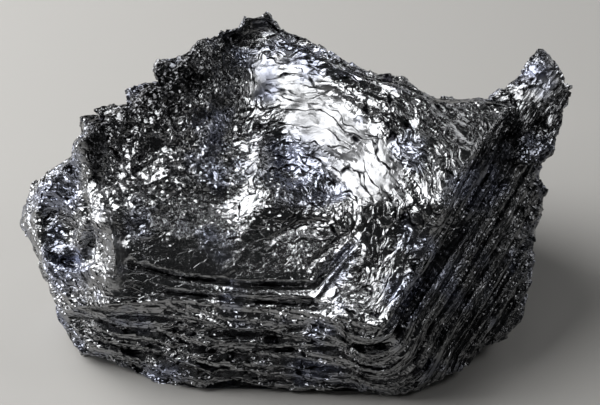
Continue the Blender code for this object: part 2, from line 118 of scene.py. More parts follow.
# The top face as flats that run into each other: place, reach, height there, slope to the right, slope up
FLATS = {
    "front brow, left": ((-18.0, -12.5), 5.0, 8.6, 0.0, -0.15),
    "front brow, middle": ((-3.0, -12.5), 6.0, 9.4, 0.02, -0.18),
    "front brow, right": ((8.5, -13.0), 5.0, 11.4, 0.08, -0.28),
    "plates": ((-2.0, -6.5), 5.0, 6.8, -0.20, 0.08),
    "plates, right": ((3.0, -6.0), 3.2, 7.4, -0.15, 0.05),
    "beyond the plates": ((8.5, -9.5), 2.8, 8.8, -0.05, -0.05),
    "left of the plates": ((-12.0, -6.0), 4.5, 8.2, -0.20, 0.0),
    "trough": ((-20.0, -5.0), 4.5, 9.0, -0.12, 0.0),
    "left wall, low": ((-14.0, 1.5), 5.0, 6.6, -0.22, -0.04),
    "left wall, middle": ((-15.5, 9.0), 6.0, 4.4, -0.15, 0.0),
    "left wall, top": ((-13.2, 18.0), 4.2, 3.4, -0.30, -0.05),
    "fold": ((-6.2, 13.0), 3.6, -0.8, 0.36, -0.46),
    "fold, lower": ((-7.6, 8.5), 2.4, 1.4, 0.38, -0.44),
    "dark facet": ((-25.0, 7.8), 2.6, 7.0, -0.80, 0.0),
    "left shoulder": ((-31.0, 4.0), 2.5, 4.4, 0.45, -0.10),
    "rib, upper": ((-27.0, 2.0), 2.0, 7.2, 0.15, -0.40),
    "rib, lower": ((-26.0, -7.0), 2.0, 8.0, 0.15, -0.44),
    "left edge": ((-34.0, -2.0), 2.5, 2.2, 0.45, 0.0),
    "left foot": ((-30.0, -10.5), 3.0, 4.8, 0.55, 0.10),
    "head of the fold": ((-5.6, 20.6), 3.8, -4.0, 0.36, -0.44),
    "hollow": ((-0.4, 7.6), 2.6, 2.8, 0.15, -0.25),
    "above the hollow": ((1.5, 16.0), 3.6, 0.2, 0.34, -0.48),
    "bright slope, upper": ((6.0, 11.0), 4.5, 3.4, 0.36, -0.46),
    "bright slope, middle": ((10.5, 3.0), 5.0, 7.7, 0.36, -0.46),
    "bright slope, lower": ((13.0, -6.0), 5.0, 9.6, 0.06, -0.30),
    "right plateau": ((20.0, 6.0), 5.0, 8.3, 0.12, -0.42),
    "right corner": ((27.0, 12.0), 4.0, 3.4, -0.10, -0.45),
}
# Small swellings and hollows on it: place, half width and half height, turn in degrees, height
SWELLINGS = {
    "fold below the peak": ((-4.4, 8.0), (1.2, 5.0), 4, 0.6),
    "foot of the fold": ((-2.6, 2.6), (2.2, 4.0), 14, 0.5),
    "hollow beside the fold": ((-1.0, 7.6), (1.6, 4.0), 12, -1.6),
    "pocket": ((5.2, 2.2), (2.2, 1.6), -30, -1.4),
    "band under the crest": ((9.0, 15.4), (11.0, 1.6), -27, 1.3),
}
# Low flat plates with the corners of a hexagon, and a sunk one: corners as (across, up), thickness
PLATES = {
    "left pocket": ([(-34.5, -1.0), (-32.0, 3.5), (-28.9, 4.5), (-27.4, 0.5), (-26.6, -4.0), (-26.8, -7.6),
                     (-29.5, -8.6), (-33.5, -7.0)], -4.8),
    "front plate": ([(-15.6, -9.2), (-12.8, -3.0), (-9.0, -1.4), (-3.9, -2.2), (8.4, -5.4), (3.2, -12.4),
                     (-6.0, -11.9)], 0.8),
    "left plate": ([(-15.4, -9.4), (-11.4, -4.0), (-4.6, -2.6), (-7.6, -8.4), (-10.0, -9.6)], 0.5),
    "middle plate": ([(-5.9, -10.0), (-6.8, -7.8), (-4.0, -3.4), (1.0, -2.0), (6.2, -4.1), (3.0, -10.0)],
                     0.9),
    "top plate": ([(-3.6, -9.0), (-3.0, -6.0), (0.2, -4.4), (5.0, -4.9), (2.4, -9.1)], 0.5),
}
PLATE_EDGE = 0.3
# Cracks between sheets: points as (across, up), depth
CRACKS = {
    "under the plates": ([(-22.0, -7.6), (-15.5, -9.4), (-5.6, -10.5), (3.0, -10.6), (7.8, -5.2)], 1.3),
    "plate edge, left": ([(-9.3, -7.5), (-3.4, -2.1)], 0.12),
    "plate edge, middle": ([(-3.2, -4.6), (0.9, -2.2), (5.0, -1.9)], 0.5),
    "plate edge, right": ([(2.3, -7.6), (7.1, -3.8)], 0.9),
    "upper front": ([(-17.0, -11.4), (-6.2, -12.6), (1.6, -13.2), (5.0, -13.4)], 1.4),
    "lower front": ([(-30.0, -15.0), (-21.8, -16.2), (-14.0, -16.9), (-6.0, -17.2), (2.0, -16.2)], 1.3),
    "foot": ([(-16.0, -19.2), (-7.0, -19.3), (4.0, -19.0), (12.8, -18.6)], 1.2),
    "left slot": ([(-33.0, -7.0), (-29.6, -7.7)], 1.3),
    "right corner": ([(12.4, -16.6), (17.6, -9.0), (22.0, -3.0), (27.6, 6.8), (29.6, 10.4)], 2.2),
    "right middle": ([(14.6, -15.2), (21.4, -5.6), (26.0, 0.4), (29.6, 6.0)], 1.8),
}
CRACK_WIDTH = 0.34
# The rib, a bent flap that stands up on the left: points as (across, up), then its height and width
RIB = [(-28.6, 9.4), (-27.0, 4.6), (-25.4, 0.2), (-24.0, -3.8), (-23.6, -7.4), (-24.0, -10.6)]
RIB_HEIGHT = [0.3, 0.6, 1.0, 1.3, 1.2, 0.6]
RIB_WIDTH = [1.0, 1.6, 2.2, 2.6, 2.4, 1.8]
# Width of its steep side, how far it fades past its ends, and how far up it is silky
RIB_DROP = 0.7
RIB_FADE = 1.5
RIB_SILK_TOP = 5
# Parts of the front where the surface is broken into blocks: place, half sizes, turn, height
BROKEN = [((-16.5, 12.5), (9.5, 12.0), -52, 1.2), ((-32.0, -1.0), (6.0, 9.0), -10, 0.5),
          ((33.6, 0.0), (3.4, 12.0), 0, 1.2), ((-20.0, -2.0), (6.0, 7.0), 0, 0.5)]
BLOCK = 3.4
# The calm, flat stretch along the front of the face, and the left flank with weaker ledges: place, half
# sizes, turn
CALM = ((-9.0, -7.4), (17.0, 6.0), 0)
SMOOTH_FLANK = ((-34.0, -8.0), (8.0, 12.0), 0)

# The crumpled bright part of the face and the grainy left part: corners as (across, up)
FOIL = [(-6.4, 23.0), (1.0, 22.4), (7.8, 18.0), (18.8, 14.6), (29.4, 13.6), (22.0, 4.8), (15.6, -6.0),
        (13.0, -15.6), (8.0, -13.6), (9.4, -5.0), (4.0, -0.8), (-4.6, 0.4), (-7.0, 6.0), (-7.6, 14.0)]
GRAINS = [(-5.6, 25.8), (-7.6, 14.0), (-7.4, 6.0), (-7.0, 3.4), (-13.0, 1.6), (-21.0, -1.4), (-26.6, -1.0),
          (-29.4, 9.0), (-27.0, 13.0), (-17.0, 20.0)]
# The smooth, silky band of the bright part
SILK = [(1.5, 20.0), (6.5, 15.0), (12.0, 9.0), (14.6, 4.0), (12.6, 1.0), (9.0, 1.5), (4.0, 5.5), (0.0, 9.5),
        (-1.5, 13.5), (-5.5, 15.5), (-6.0, 20.0)]
# The broken right edge, past the long plates of the bent side
RIGHT_EDGE = [(31.4, 11.0), (36.0, 9.0), (36.0, -2.0), (34.0, -14.0), (29.0, -19.0), (28.2, -15.0),
              (29.4, -8.0), (30.6, 1.0)]
# The dark facet beside the rib, where shade is painted into the colour
DARK_FACET = [(-28.1, 12.2), (-25.6, 13.0), (-24.8, 11.2), (-25.3, 7.8), (-25.9, 4.0), (-27.0, 2.9),
              (-27.7, 6.4)]
# The crest at the top left, painted dark as shade, the streaked edge of the fold, the glittering front, the
# blue sheen in the hollow and the smooth tip of the horn: place, half sizes, turn
SHADED_CREST = ((-17.5, 16.8), (11.0, 4.2), 38)
FOLD = ((-6.1, 14.6), (2.0, 8.0), -15)
GLITTER = ((-9.0, -14.2), (17.0, 2.6), -2)
BLUE_SHEEN = ((0.6, 6.8), (4.0, 2.6), -20)
HORN_SHINE = ((34.6, 16.8), (2.2, 3.4), 0)
# Creases of the crumpled part run round this place
CREASE_MIDDLE = (-1.0, -3.0)

# Cells of the fine sheets, as across, down the dip and up the stack: wide ones, small ones, bent ones
WIDE_SHEETS = np.array([13.0, 13.0, 0.85])
SMALL_SHEETS = np.array([5.0, 5.0, 0.45])
BENT_SHEETS = np.array([50.0, 50.0, 1.7])
# Cells of the crumpled part, as outwards from the middle of its creases, round it and up the stack
PLEATS = np.array([2.6, 8.0, 8.0])
CREASES = np.array([2.2, 7.0, 6.0])
SCALES = np.array([1.6, 4.0, 3.0])

# Colours of the ore, of its bluish tint, of the shade painted into the gaps in it, and of the floor
ORE_GREY = (0.38, 0.385, 0.395, 1)
ORE_BLUE = (0.34, 0.36, 0.44, 1)
SHADE_BLACK = (0.01, 0.01, 0.012, 1)
CARD_GREY = (0.5, 0.49, 0.47, 1)
FLOOR_SIZE = 4

# Square lamps in metres and watts: place, size, power. They all face one point.
LAMPS = {
    "key": ((-0.26, 0.07, 0.26), 0.36, 2.2),
    "back fill": ((0.5, 0.7, 0.3), 0.5, 1.2),
    "side fill": ((0.68, -0.05, 0.75), 0.3, 0.9),
    "overhead": ((0.0, 0.0, 0.9), 0.3, 0.2),
}
LAMP_AIM = (0, 0, 0.02)
ROOM_COLOUR = (0.95, 0.97, 1.0, 1)
ROOM_STRENGTH = 0.02

# The camera: what it looks at on the drawing plane, the width of its view there, and how far away it is
VIEW_MIDDLE = Vector((0.96, 0.62, 0)) * MM
VIEW_WIDTH = 82.2 * MM
CAMERA_DISTANCE = 0.45


def cell_value(cells, seed):
    """A fixed random value from -1 to 1 for each cell, given by three whole numbers."""
    key = cells.astype(np.uint32)
    mixed = key[:, 0] * np.uint32(374761393) + key[:, 1] * np.uint32(668265263)
    mixed += key[:, 2] * np.uint32(2246822519) + np.uint32(seed * 3266489917 % 2**32)
    mixed = (mixed ^ (mixed >> np.uint32(13))) * np.uint32(1274126177)
    mixed ^= mixed >> np.uint32(16)
    return mixed / 2**31 - 1


def lattice_noise(points, cell, seed):
    """Smooth noise from -1 to 1 at each point, between random values on a lattice of that cell."""
    scaled = points / cell
    base = np.floor(scaled).astype(np.int64)
    part = scaled - base
    part = part * part * (3 - 2 * part)
    total = np.zeros(len(points))
    for corner in np.ndindex(2, 2, 2):
        weight = np.prod(np.where(np.array(corner) == 1, part, 1 - part), axis=1)
        total += weight * cell_value(base + corner, seed)
    return total


def layered_noise(points, cell, seed, layers=3):
    """Lattice noise at several sizes, each half as large and half as strong as the one before."""
    return sum(lattice_noise(points, np.array(cell) / 2**i, seed + i) / 2**i for i in range(layers))


def broken_blocks(points, cell, seed, slope=1.0):
    """Heights from about -1 to 1 of a surface broken into blocks, each with its own level and slope."""
    base = np.floor(points / cell).astype(np.int64)
    nearest, height = np.full(len(points), np.inf), np.zeros(len(points))
    for step in np.ndindex(3, 3, 3):
        block = base + step - 1
        middle = block + 0.5 + np.stack([cell_value(block, seed + i) for i in range(3)], axis=1) * 0.45
        offset = points / cell - middle
        away = np.linalg.norm(offset, axis=1)
        level = cell_value(block, seed + 3) * 0.6
        level += slope * offset[:, 0] * cell_value(block, seed + 4)
        level += slope * offset[:, 1] * cell_value(block, seed + 5)
        height = np.where(away < nearest, level, height)
        nearest = np.minimum(nearest, away)
    return height


def ray_length(outline, middle, angle):
    """How far a ray from the middle runs, at each angle, before it meets the outline."""
    corners = np.array(outline) - middle
    turns = np.arctan2(corners[:, 1], corners[:, 0]) % (2 * math.pi)
    order = np.argsort(turns)
    corners, turns = corners[order], turns[order]
    start = np.searchsorted(turns, angle % (2 * math.pi), side="right") - 1
    a, b = corners[start], corners[(start + 1) % len(corners)]
    side = b - a
    across = np.cos(angle) * side[:, 1] - np.sin(angle) * side[:, 0]
    return (a[:, 0] * side[:, 1] - a[:, 1] * side[:, 0]) / across


def bump(x, y, place, size, turn):
    """A smooth round bump, 1 high, at a place, with half widths and a turn in degrees."""
    c, s = math.cos(math.radians(turn)), math.sin(math.radians(turn))
    dx, dy = x - place[0], y - place[1]
    along, beside = dx * c + dy * s, dy * c - dx * s
    return np.exp(-((along / size[0]) ** 2) - (beside / size[1]) ** 2)


def distance_to_line(x, y, points):
    """Distance from each place to a line of straight runs, and the side of it: positive on the left."""
    nearest, side = np.full(len(x), np.inf), np.ones(len(x))
    for (ax, ay), (bx, by) in zip(points, points[1:]):
        run = np.array([bx - ax, by - ay])
        dx, dy = x - ax, y - ay
        share = np.clip((dx * run[0] + dy * run[1]) / (run @ run), 0, 1)
        ox, oy = dx - share * run[0], dy - share * run[1]
        away = np.hypot(ox, oy)
        closer = away < nearest
        side = np.where(closer, np.sign(run[0] * dy - run[1] * dx), side)
        nearest = np.minimum(nearest, away)
    return nearest, side


def inside_plate(x, y, corners):
    """1 inside a convex plate, 0 outside, with a short slope at its edge. Its corners may run either way."""
    points = np.array(corners)
    middle = points.mean(axis=0)
    depth = np.full(len(x), np.inf)
    for a, b in zip(points, np.roll(points, -1, axis=0)):
        side = b - a
        normal = np.array([-side[1], side[0]]) / np.linalg.norm(side)
        normal *= np.sign((middle - a) @ normal)
        depth = np.minimum(depth, (x - a[0]) * normal[0] + (y - a[1]) * normal[1])
    return np.clip(depth / PLATE_EDGE + 0.5, 0, 1)


def inside_patch(x, y, corners, soft):
    """1 inside a patch of any shape and 0 outside, with a soft edge."""
    crossings = np.zeros(len(x), dtype=bool)
    for (ax, ay), (bx, by) in zip(corners, corners[1:] + corners[:1]):
        between = (ay > y) != (by > y)
        crossings ^= between & (x < (bx - ax) * (y - ay) / (by - ay + 1e-9) + ax)
    away, _ = distance_to_line(x, y, corners + corners[:1])
    return np.clip(0.5 + np.where(crossings, away, -away) / soft, 0, 1)


def stepped(height, riser_share):
    """Heights in the stack drawn to flat treads, with risers over that share of each ledge."""
    levels = np.array(LEDGES)
    lower = np.clip(np.searchsorted(levels, height) - 1, 0, len(levels) - 2)
    gap = levels[lower + 1] - levels[lower]
    share = np.clip(((height - levels[lower]) / gap - 1 + riser_share) / riser_share, 0, 1)
    return levels[lower] + gap * share * share * (3 - 2 * share)


def wall_share(x, y):
    """0 on the top face, rising to 1 at the rim."""
    dx, dy = x - MIDDLE[0], y - MIDDLE[1]
    angle = np.arctan2(dy, dx)
    rim, edge = ray_length(RIM, MIDDLE, angle), ray_length(FACE_EDGE, MIDDLE, angle)
    return np.clip((np.hypot(dx, dy) - edge) / np.maximum(rim - edge, 1), 0, 1)


def face_out(x, y):
    """How far out the top face stands."""
    out, total = np.zeros(len(x)), np.full(len(x), 1e-12)
    for place, reach, height, right, up in FLATS.values():
        dx, dy = x - place[0], y - place[1]
        weight = np.exp(-(dx * dx + dy * dy) / reach**2) + 1e-9
        out += weight * (height + right * dx + up * dy)
        total += weight
    out /= total
    for place, size, turn, height in SWELLINGS.values():
        out += bump(x, y, place, size, turn) * height
    away, side = distance_to_line(x, y, RIB)
    down = -np.array(RIB)[:, 1]
    rise = np.clip(1 - away / np.interp(-y, down, RIB_WIDTH), 0, 1)
    drop = np.clip(1 - away / RIB_DROP, 0, 1)
    ends = np.clip(1 - np.maximum(y - RIB[0][1], RIB[-1][1] - y) / RIB_FADE, 0, 1)
    out += np.interp(-y, down, RIB_HEIGHT) * np.where(side < 0, rise, drop) * ends
    for corners, thickness in PLATES.values():
        left, right = min(corners)[0], max(corners)[0]
        low, high = min(up for _, up in corners), max(up for _, up in corners)
        tilt = np.clip((x - left) / (right - left), 0, 1) * np.clip(1.5 * (high - y) / (high - low), 0, 1)
        out += inside_plate(x, y, corners) * thickness * tilt
    return out


def stack_height(x, y, out, bent):
    """Height in the stack of sheets, which lie flat or, where bent is 1, run along the right side."""
    start, end = np.array(BEND_LINE[0]), np.array(BEND_LINE[1])
    run = (end - start) / np.linalg.norm(end - start)
    beside = (x - start[0]) * run[1] - (y - start[1]) * run[0]
    flat = y * SHEET_UP + out * SHEET_OUT
    return flat + (BEND_HEIGHT - BEND_DROP * beside - flat) * bent


def bent_share(angle):
    """How far the sheets are bent at each angle round the middle."""
    return np.interp(np.degrees(angle) % 360, list(BEND_SHARE), list(BEND_SHARE.values()), period=360)


def ledge_wobble(points):
    """How far the ledges wander up and down in the stack."""
    return layered_noise(points, 11, seed=33, layers=2) * LEDGE_WOBBLE


def stone_out(angle, share, front):
    """The stone's surface at an angle and at a share of the way to the rim, in millimetres."""
    rim, edge = ray_length(RIM, MIDDLE, angle), ray_length(FACE_EDGE, MIDDLE, angle)
    x, y = MIDDLE[0] + rim * share * np.cos(angle), MIDDLE[1] + rim * share * np.sin(angle)
    turns = np.degrees(angle) % 360
    rim_out = np.interp(turns, list(RIM_OUT), list(RIM_OUT.values()), period=360)
    climb = np.clip((1 - share) * rim / np.maximum(rim - edge, 1), 0, 1)
    top = rim_out + (face_out(x, y) - rim_out) * climb**0.85
    back = rim_out - BACK_DEPTH * np.sqrt(np.clip(1 - share**2.4, 0, 1))
    out = np.where(front, top, back)
    spots = np.stack([x, y, out], axis=1)

    ledge_part = np.where(front, np.clip((1 - climb) * 6, 0, 1), 0.8)
    ledge_part *= 1 - 0.75 * bump(x, y, *SMOOTH_FLANK)
    bent = bent_share(angle) * np.where(front, 1, np.clip(share * 10 - 9, 0, 1))
    stack = stack_height(x, y, out, bent)
    stack += ledge_wobble(spots) + broken_blocks(spots, 8, seed=35, slope=0) * LEDGE_WOBBLE
    out += ledge_part * (stepped(stack, RISER_SHARE + 0.3 * bent) - stack) / SHEET_OUT

    calm = bump(x, y, *CALM) * front
    out += layered_noise(spots, 6, seed=5, layers=2) * (0.36 + 0.19 * climb) * (1 - 0.9 * calm)
    for place, size, turn, height in BROKEN:
        strength = np.where(front, bump(x, y, place, size, turn) * height, 0)
        out += strength * broken_blocks(spots, BLOCK, seed=60)
    out += np.where(front, 0, layered_noise(spots, 9, seed=21) * 1.6) * np.sqrt(1 - share)
    for points, depth in CRACKS.values():
        away, _ = distance_to_line(x, y, points)
        out -= np.where(front, depth * np.exp(-((away / CRACK_WIDTH) ** 2)), 0)
    return x, y, out


def horn_out(angle, share, front):
    """The horn's surface: a thin shell, bent a little, that leans back towards its tip."""
    rim = ray_length(HORN_RIM, HORN_MIDDLE, angle)
    x, y = HORN_MIDDLE[0] + rim * share * np.cos(angle), HORN_MIDDLE[1] + rim * share * np.sin(angle)
    belly = np.where(front, HORN_BELLY, -HORN_BACK) * np.sqrt(np.clip(1 - share**3, 0, 1))
    spots = np.stack([x, y, belly], axis=1)
    out = HORN_OUT + belly + HORN_LEAN[0] * (x - HORN_MIDDLE[0]) + HORN_LEAN[1] * (y - HORN_MIDDLE[1])
    out += broken_blocks(spots, HORN_BLOCK, seed=43) * HORN_BLOCK_HEIGHT
    place, size, depth = HORN_HOLLOW
    out -= np.where(front, bump(x, y, place, size, 0) * depth, 0)
    return x, y, out


def points_of(mesh, what="co"):
    """The positions or normals of a mesh's points, one row each."""
    values = np.empty(len(mesh.vertices) * 3, dtype=np.float32)
    mesh.vertices.foreach_get(what, values)
    return values.reshape(-1, 3).astype(np.float64)


def move_points(mesh, points):
    mesh.vertices.foreach_set("co", points.astype(np.float32).ravel())
    mesh.update()


def only(obj):
    """Makes this the one selected and active object."""
    bpy.ops.object.select_all(action="DESELECT")
    obj.select_set(True)
    bpy.context.view_layer.objects.active = obj


def finish_with(obj, kind, **settings):
    """Adds a modifier with these settings and applies it."""
    only(obj)
    bpy.ops.object.modifier_add(type=kind)
    modifier = obj.modifiers[-1]
    for setting, value in settings.items():
        setattr(modifier, setting, value)
    bpy.ops.object.modifier_apply(modifier=modifier.name)


def shaped_ball(name, surface, subdivisions):
    """A shaped ball: its points go to a surface given by angle, share of the way out, and side."""
    bpy.ops.mesh.primitive_ico_sphere_add(subdivisions=subdivisions, radius=1)
    ball = bpy.context.active_object
    ball.name = name
    unit = points_of(ball.data)
    angle = np.arctan2(unit[:, 1], unit[:, 0])
    share = np.clip(np.hypot(unit[:, 0], unit[:, 1]), 0, 1)
    move_points(ball.data, np.stack(surface(angle, share, unit[:, 2] > 0), axis=1))
    return ball


def sheet_stack(points):
    """Each point's height in the stack of sheets, and how far they are bent there."""
    x, y = points[:, 0], points[:, 1]
    bent = bent_share(np.arctan2(y - MIDDLE[1], x - MIDDLE[0])) * np.clip(wall_share(x, y) * 8, 0, 1)
    return stack_height(x, y, points[:, 2], bent), bent


def fine_relief(points, normals):
    """How far each point of the skin moves along its normal for laminations, foil creases and grains."""
    x, y = points[:, 0], points[:, 1]
    stack, bent = sheet_stack(points)
    down_dip = y * SHEET_OUT - points[:, 2] * SHEET_UP
    crystal = np.stack([x, down_dip, stack], axis=1)
    steep = 1 - np.abs(normals[:, 1] * SHEET_UP + normals[:, 2] * SHEET_OUT)
    front = normals[:, 2] > -0.2
    foil = inside_patch(x, y, FOIL, 2.0) * front
    grains = inside_patch(x, y, GRAINS, 2.5) * front
    crumpled = foil * (1 - 0.85 * inside_patch(x, y, SILK, 4.0))

    calm = bump(x, y, *CALM) * front
    bent *= front
    crystal[:, 2] += layered_noise(crystal, 9, seed=71, layers=2) * 0.4
    sheets = broken_blocks(crystal, WIDE_SHEETS, seed=81, slope=0.2) * (0.26 - 0.18 * bent)
    sheets += broken_blocks(crystal, SMALL_SHEETS, seed=91, slope=0.3) * (0.1 - 0.06 * bent)
    sheets += broken_blocks(crystal, BENT_SHEETS, seed=95, slope=0) * 0.5 * bent
    ledged = 1 - np.maximum(foil, grains)
    move = sheets * ledged * (0.15 + 0.85 * np.clip(steep * 2.5, 0, 1)) * (1 - 0.8 * calm)

    dx, dy = x - CREASE_MIDDLE[0], y - CREASE_MIDDLE[1]
    warp = layered_noise(points, 5, seed=151, layers=2) * 0.9
    flow = np.stack([np.hypot(dx, dy) + warp, np.arctan2(dy, dx) * 9, stack], axis=1)
    pleats = layered_noise(flow, PLEATS, seed=101, layers=2)
    creases = np.exp(-((lattice_noise(flow, CREASES, seed=161) / 0.07) ** 2))
    move += (pleats * 0.1 - creases * 0.1) * foil
    move += broken_blocks(flow, SCALES, seed=111, slope=3) * 0.08 * crumpled
    move += broken_blocks(points, 1.3, seed=191, slope=3) * 0.05 * crumpled

    rough = np.clip(0.65 + 0.6 * lattice_noise(points, 5, seed=171), 0.2, 1.2)
    coarse, fine = broken_blocks(points, 3.0, seed=121), broken_blocks(points, 1.4, seed=131)
    move += (coarse * 0.6 + fine * 0.3 * rough) * grains
    move += layered_noise(points, 0.9, seed=141, layers=2) * 0.04 * (1 - 0.7 * foil)
    rim = np.clip(wall_share(x, y) * 4 - 3, 0, 1)
    move += broken_blocks(points, 1.7, seed=201, slope=1.5) * 0.3 * rim
    return move


def mark_zones(mesh, points):
    """Keeps on the mesh how far each place is in each part of the stone, for the finish."""
    x, y = points[:, 0], points[:, 1]
    rounds = {"plates": CALM, "fold": FOLD, "tarnish": SHADED_CREST, "glitter": GLITTER, "blue": BLUE_SHEEN}
    zones = {name: bump(x, y, *place) for name, place in rounds.items()}
    # Shade is painted on the crest at the top left and on the dark facet beside the rib
    zones["tarnish"] = np.maximum(zones["tarnish"], inside_patch(x, y, DARK_FACET, 0.8))
    zones["stack"], zones["bend"] = sheet_stack(points)
    # Distance to the nearest ledge line or crack, where the finish paints shade black
    wandering = zones["stack"] + ledge_wobble(points)
    to_ledge = np.abs(wandering[:, None] - np.array(LEDGES)).min(axis=1)
    zones["gap"] = to_ledge + 3 * (1 - wall_share(x, y) * 4).clip(0, 1)
    for line, _ in CRACKS.values():
        zones["gap"] = np.minimum(zones["gap"], distance_to_line(x, y, line)[0])
    for name, patch in (("grains", GRAINS), ("foil", FOIL), ("silk", SILK)):
        zones[name] = inside_patch(x, y, patch, 2.5)
    on_rib = np.clip(2 - distance_to_line(x, y, RIB)[0], 0, 1) * np.clip((RIB_SILK_TOP - y) / 2, 0, 1)
    zones["silk"] = np.maximum(zones["silk"], 0.35 * on_rib)
    zones["silk"] = np.maximum(zones["silk"], 0.8 * bump(x, y, *HORN_SHINE))
    broken = np.maximum(inside_patch(x, y, RIGHT_EDGE, 2.5), 0.85 * zones["glitter"])
    zones["grains"] = np.maximum(zones["grains"], broken)
    for name, zone in zones.items():
        mesh.attributes.new(name, "FLOAT", "POINT").data.foreach_set("value", zone.astype(np.float32))


def stone_skin():
    """The stone's fine skin: shaped ball and horn, one skin by remeshing, fine relief, then a flat foot."""
    bpy.ops.object.select_all(action="DESELECT")
    skin = shaped_ball("ore_skin", stone_out, 8)
    horn = shaped_ball("horn", horn_out, 6)
    only(skin)
    horn.select_set(True)
    bpy.ops.object.join()
    finish_with(skin, "REMESH", mode="VOXEL", voxel_size=SKIN_CELL)

    points, normals = points_of(skin.data), points_of(skin.data, "normal")
    move_points(skin.data, points + normals * fine_relief(points, normals)[:, None])
    skin.data.transform(Matrix.Translation(PLANE_ORIGIN) @ Matrix.Rotation(PLANE_LEAN, 4, "X")
                        @ Matrix.Scale(MM, 4))
    only(skin)
    bpy.ops.object.mode_set(mode="EDIT")
    bpy.ops.mesh.select_all(action="SELECT")
    bpy.ops.mesh.bisect(plane_co=(0, 0, 0), plane_no=(0, 0, 1), use_fill=True, clear_inner=True)
    bpy.ops.mesh.select_all(action="SELECT")
    bpy.ops.mesh.quads_convert_to_tris()
    bpy.ops.object.mode_set(mode="OBJECT")
    finish_with(skin, "DECIMATE", ratio=min(1, SKIN_TRIANGLES / len(skin.data.polygons)))
    points = points_of(skin.data)
    points[:, 2] = points[:, 2].clip(0)
    move_points(skin.data, points)
    to_drawing = np.array(Matrix.Rotation(-PLANE_LEAN, 3, "X") * (1 / MM))
    mark_zones(skin.data, (points - np.array(PLANE_ORIGIN)) @ to_drawing.T)
    only(skin)
    bpy.ops.object.shade_smooth_by_angle(angle=SMOOTH_ANGLE)
    return skin


class Socket:
    """A shader socket that sums can be written with."""

    def __init__(self, finish, socket):
        self.finish, self.socket = finish, socket

    def __add__(self, other):
        return self.finish.maths("ADD", self, other)

    def __mul__(self, other):
        return self.finish.maths("MULTIPLY", self, other)

    def __sub__(self, other):
        return self.finish.maths("SUBTRACT", self, other)

    def __rsub__(self, other):
        return self.finish.maths("SUBTRACT", other, self)

    __radd__ = __add__
    __rmul__ = __mul__


class Finish:
    """A material and its nodes."""

    def __init__(self, name):
        self.material = bpy.data.materials.new(name)
        self.material.use_nodes = True
        self.tree = self.material.node_tree
        self.shader = self.tree.nodes["Principled BSDF"]

    def node(self, kind, settings=None, values=(), output=0):
        """Adds a node: its settings first, then its sockets' values or links, by place or by name."""
        made = self.tree.nodes.new(kind)
        for setting, value in (settings or {}).items():
            if setting == "stops":
                self.set_stops(made.color_ramp, value)
            else:
                setattr(made, setting, value)
        pairs = values.items() if isinstance(values, dict) else enumerate(values)
        for place, value in pairs:
            self.feed(made.inputs[place], value)
        return Socket(self, made.outputs[output])

    def feed(self, socket, value):
        if isinstance(value, Socket):
            self.tree.links.new(value.socket, socket)
        else:
            socket.default_value = value

    def set_stops(self, ramp, stops):
        while len(ramp.elements) > 1:
            ramp.elements.remove(ramp.elements[-1])
        for number, (position, shade) in enumerate(stops):
            stop = ramp.elements[0] if number == 0 else ramp.elements.new(position)
            stop.position = position
            stop.color = (shade, shade, shade, 1)

    def set(self, **values):
        for name, value in values.items():
            self.feed(self.shader.inputs[name.replace("_", " ")], value)

    def maths(self, operation, *values):
        return self.node("ShaderNodeMath", {"operation": operation}, values)

    def vector(self, operation, *values):
        return self.node("ShaderNodeVectorMath", {"operation": operation}, values)

    def parts(self, vector):
        """The three parts of a vector or colour."""
        made = self.node("ShaderNodeSeparateXYZ", {}, [vector]).socket.node
        return [Socket(self, output) for output in made.outputs]

    def upto(self, value, most=1.0):
        return self.maths("MINIMUM", value, most)

    def over(self, value, least):
        """1 where the value is above the least value, 0 elsewhere."""
        return self.maths("GREATER_THAN", value, least)

    def zone(self, name):
        return self.node("ShaderNodeAttribute", {"attribute_name": name}, output=2)

    def noise(self, place, scale, detail=2.0, output=0):
        values = {"Vector": place, "Scale": scale, "Detail": detail}
        return self.node("ShaderNodeTexNoise", {}, values, output)

    def cells(self, place, scale, feature="F1", output=0):
        values = {"Vector": place, "Scale": scale}
        return self.node("ShaderNodeTexVoronoi", {"feature": feature}, values, output)

    def centred(self, colour):
        """A random colour as a vector from -0.5 to 0.5 each way."""
        return self.vector("SUBTRACT", colour, (0.5, 0.5, 0.5))

    def scaled(self, vector, amount):
        return self.node("ShaderNodeVectorMath", {"operation": "SCALE"}, {0: vector, 3: amount})

    def mix_vector(self, factor, first, second):
        return self.node("ShaderNodeMix", {"data_type": "VECTOR"}, {0: factor, 4: first, 5: second}, 1)

    def mix_colour(self, factor, first, second):
        return self.node("ShaderNodeMix", {"data_type": "RGBA"}, {0: factor, 6: first, 7: second}, 2)


